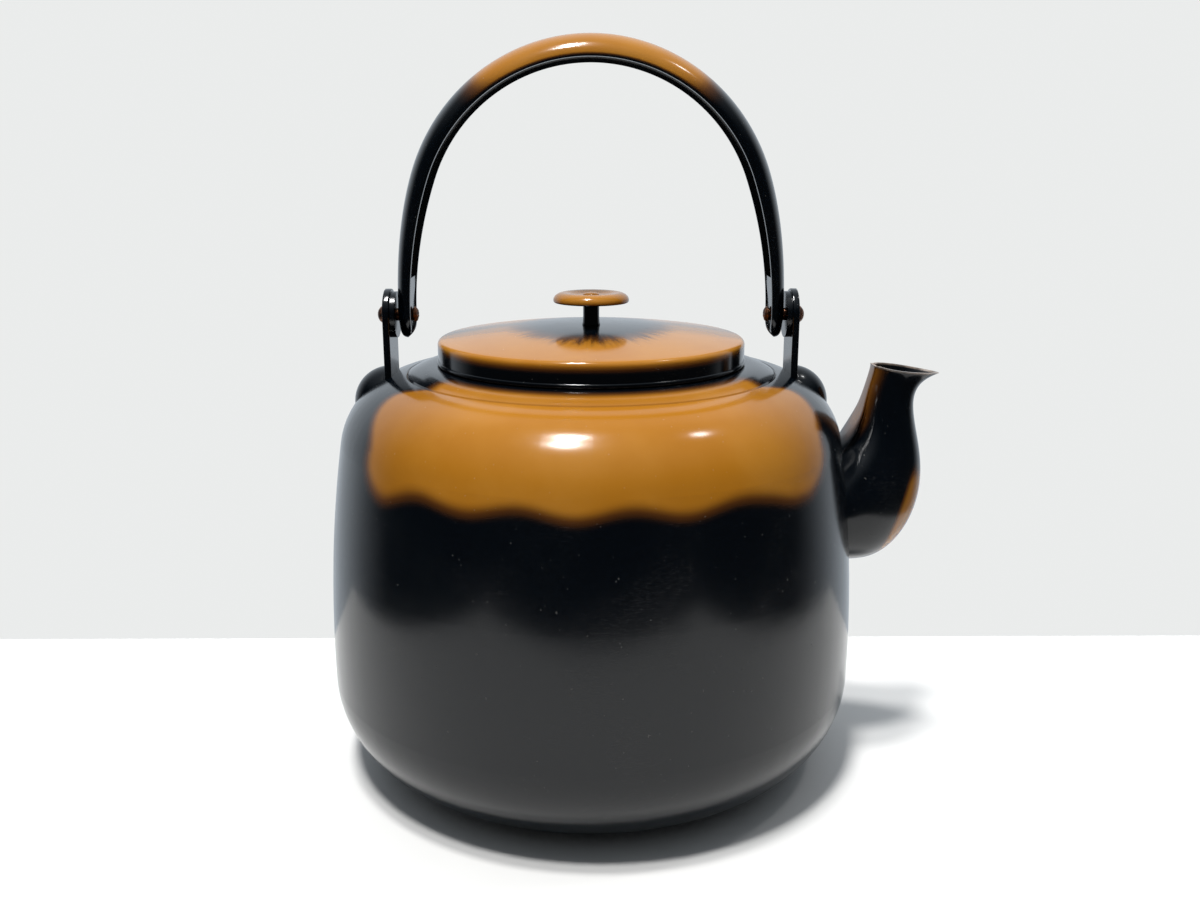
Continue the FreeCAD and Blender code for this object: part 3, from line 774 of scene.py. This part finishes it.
def bail_amber(x, y, z):
    """Only the outer skin of the crown is amber; the hollow and its lips stay black."""
    out = (x * x + (z - CROWN_HEIGHT) ** 2) ** 0.5 - CROWN_BEND
    across = y / sum(HALF_WIDTHS)
    skin = out / sum(DEPTHS)
    outer_skin = ((across * across + skin * skin) ** 0.5).eased(*GRIP_SKIN)
    return z.eased(*GRIP_FADE) * outer_skin * out.eased(*GRIP_LIPS)


dressed(bail, "bail_arch", lacquer("bail_gloss", bail_amber), "bail", "bail_handle")


# Pivot rivets: copper rivets with round heads outside the lugs. Their inner ends are hammered
# over by hand against the bail, so they are uneven, brown, and rubbed bright in places.
SHANK_RADIUS = 0.0020
SHANK_INNER = 0.05795
HEAD_RADIUS = 0.0031
HEAD_HEIGHT = 0.0027
HEAD_RIM = 0.0003
HEAD_DENTS = 0.00006
PEEN_RADIUS = 0.0026
PEEN_HEIGHT = 0.0014
PEEN_RIM = 0.0001
PEEN_DENTS = 0.00022
PEEN_TURNS = (0.25, 0.5, 0.75, 1.0, 1.25, 1.45)

rivet_right = added(bpy.ops.mesh.primitive_uv_sphere_add, segments=40, ring_count=20, radius=1.0,
                    rotation=(0.0, math.pi / 2, 0.0), location=(LUG_OUTER, 0.0, PIVOT_HEIGHT))
bpy.ops.mesh.select_all(action="SELECT")
bpy.ops.transform.resize(value=(HEAD_HEIGHT, HEAD_RADIUS, HEAD_RADIUS),
                         center_override=(LUG_OUTER, 0.0, PIVOT_HEIGHT))
pick(rivet_right, lambda place: place.x < LUG_OUTER - HAIR)
bpy.ops.mesh.delete(type="VERT")
pick(rivet_right, lambda place: place.x < LUG_OUTER + HAIR)
last_x, last_radius = LUG_OUTER, HEAD_RADIUS
rings = [(LUG_OUTER, SHANK_RADIUS), (SHANK_INNER, SHANK_RADIUS), (SHANK_INNER, PEEN_RADIUS)]
rings += [(SHANK_INNER - PEEN_HEIGHT * math.sin(turn), PEEN_RADIUS * math.cos(turn))
          for turn in PEEN_TURNS]
for x, radius in rings:
    share = radius / last_radius
    bpy.ops.mesh.extrude_edges_move(TRANSFORM_OT_translate={"value": (x - last_x, 0.0, 0.0)})
    bpy.ops.transform.resize(value=(1.0, share, share), center_override=(x, 0.0, PIVOT_HEIGHT))
    last_x, last_radius = x, radius
bpy.ops.mesh.edge_face_add()
bpy.ops.mesh.poke()
pick(rivet_right, lambda place: place.x < SHANK_INNER - PEEN_RIM)
bpy.ops.transform.vertex_random(offset=PEEN_DENTS, seed=4)
pick(rivet_right, lambda place: place.x > LUG_OUTER + HEAD_RIM)
bpy.ops.transform.vertex_random(offset=HEAD_DENTS, seed=9)
closed_up(rivet_right)
applied(rivet_right, "SMOOTH", factor=0.4, iterations=1)
rivet_left = other_side(rivet_right)
for piece, side in ((rivet_right, "right"), (rivet_left, "left")):
    dressed(piece, "pivot_hammered_" + side, copper, "kettle", "pivot_rivet_" + side, 45.0)


# Floor: a plain, pale table top that the kettle stands on near the far edge, so that its gloss
# mirrors the table only low on the wall.
TABLE_SIZE = (0.54, 0.415, 1.0)
TABLE_MIDDLE = (0.0, -0.1225, 0.0)
TABLE_WHITE = (0.80, 0.79, 0.77, 1)
TABLE_PALE = (0.84, 0.83, 0.81, 1)

bpy.ops.object.select_all(action="DESELECT")
bpy.ops.mesh.primitive_plane_add(size=1.0, location=TABLE_MIDDLE)
floor = bpy.context.object
floor.name = "table_top"
floor.scale = TABLE_SIZE
bpy.ops.object.transform_apply(location=True, rotation=True, scale=True)
paint, shader, place = new_finish("pale_table")
grain = place.noise(30.0, 3.0).mixed(TABLE_WHITE, TABLE_PALE)
paint.node_tree.links.new(grain.socket, shader.inputs["Base Color"])
shader.inputs["Roughness"].default_value = 0.6
floor.data.materials.append(paint)


# Light: a bright soft room behind and above that is dark towards the camera, with two lamps
# overhead and a small window to the right. The room is bluish but for the pale wall in view.
ROOM_DARK = 0.03
ROOM_BEHIND = 0.75
ROOM_ABOVE = 0.35
ROOM_AIR = (0.88, 0.97, 1.06, 1)
WALL_LIGHT = 0.84
WALL_AIR = (0.985, 1.0, 0.995, 1)
LAMPS = (("near_lamp", (-0.21, -0.36, 1.45), 1.9), ("far_lamp", (-0.15, -0.10, 1.45), 1.6))
LAMP_SPREAD = math.radians(7.0)
WINDOW_PLACE = (0.67, 0.03, 1.25)
WINDOW_SIZE = 0.10
WINDOW_POWER = 1.2
KETTLE_FOOT = (0.0, 0.0, 0.0)
KETTLE_SHOULDER = (0.0, 0.0, 0.12)

world = bpy.data.worlds.new("soft_room")
bpy.context.scene.world = world
world.use_nodes = True
sky = Tone(world.node_tree)
north, up = sky.node("ShaderNodeTexCoord", out="Generated").axes()[1:]
behind = north.eased(0.05, 0.72)
overhead = up.eased(0.35, 0.9)
glow = ROOM_DARK + ROOM_BEHIND * behind + ROOM_ABOVE * overhead * (1 - behind)
seen = sky.node("ShaderNodeLightPath", out="Is Camera Ray")
strength = glow * (1 - seen) + WALL_LIGHT * seen
backdrop = world.node_tree.nodes["Background"]
world.node_tree.links.new(strength.socket, backdrop.inputs["Strength"])
world.node_tree.links.new(seen.mixed(ROOM_AIR, WALL_AIR).socket, backdrop.inputs["Color"])


def aimed(name, kind, place, aim):
    """A lamp at a place, turned to shine on what it is aimed at."""
    light = bpy.data.lights.new(name, kind)
    holder = bpy.data.objects.new(name, light)
    bpy.context.scene.collection.objects.link(holder)
    holder.location = place
    away = [p - a for p, a in zip(place, aim)]
    flat = math.hypot(away[0], away[1])
    holder.rotation_euler = (math.atan2(flat, away[2]), 0.0, math.atan2(away[0], -away[1]))
    return light


for name, place, power in LAMPS:
    lamp = aimed(name, "SUN", place, KETTLE_FOOT)
    lamp.energy = power
    lamp.angle = LAMP_SPREAD
window = aimed("window", "AREA", WINDOW_PLACE, KETTLE_SHOULDER)
window.shape = "DISK"
window.size = WINDOW_SIZE
window.energy = WINDOW_POWER


# Camera: in front of the kettle at the height of its bail, looking a little down on the lid, as
# the picture was taken.
CAMERA_PLACE = (0.0, -0.3774, 0.1987)
CAMERA_DIP = math.radians(14.0)
CAMERA_SWING = math.radians(-0.44)

lens = bpy.data.cameras.new("camera")
lens.sensor_width = 36.0
lens.lens = 34.5
lens.clip_start = 0.01
camera = bpy.data.objects.new("camera", lens)
bpy.context.scene.collection.objects.link(camera)
camera.location = CAMERA_PLACE
camera.rotation_euler = (math.pi / 2 - CAMERA_DIP, 0.0, CAMERA_SWING)
bpy.context.scene.camera = camera
bpy.context.scene.view_settings.view_transform = "Standard"
